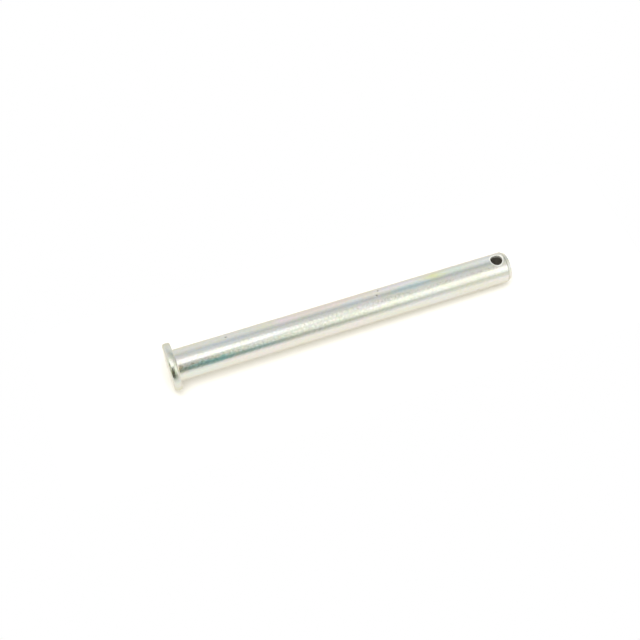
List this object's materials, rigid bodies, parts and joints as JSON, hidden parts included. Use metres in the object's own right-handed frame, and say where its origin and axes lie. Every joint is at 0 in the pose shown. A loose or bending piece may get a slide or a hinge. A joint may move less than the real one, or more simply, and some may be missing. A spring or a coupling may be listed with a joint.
{
  "type": "clevis pin",
  "caption": "Straight round pin with a flat collar head, a bevelled tip and a cross hole near the tip for a retaining clip.",
  "frame": {"origin": "centre of the head's outer face, which the pin stands on", "axes": "+Z along the pin from its head to its tip; Y along the cross hole"},
  "size_m": [0.019, 0.019, 0.1429],
  "materials": {
    "zinc_plate": "bright zinc plate on turned steel, satin, with a faint iridescent passivation"
  },
  "bodies": {
    "root": {"clevis_pin": "zinc_plate"}
  },
  "joints": []
}
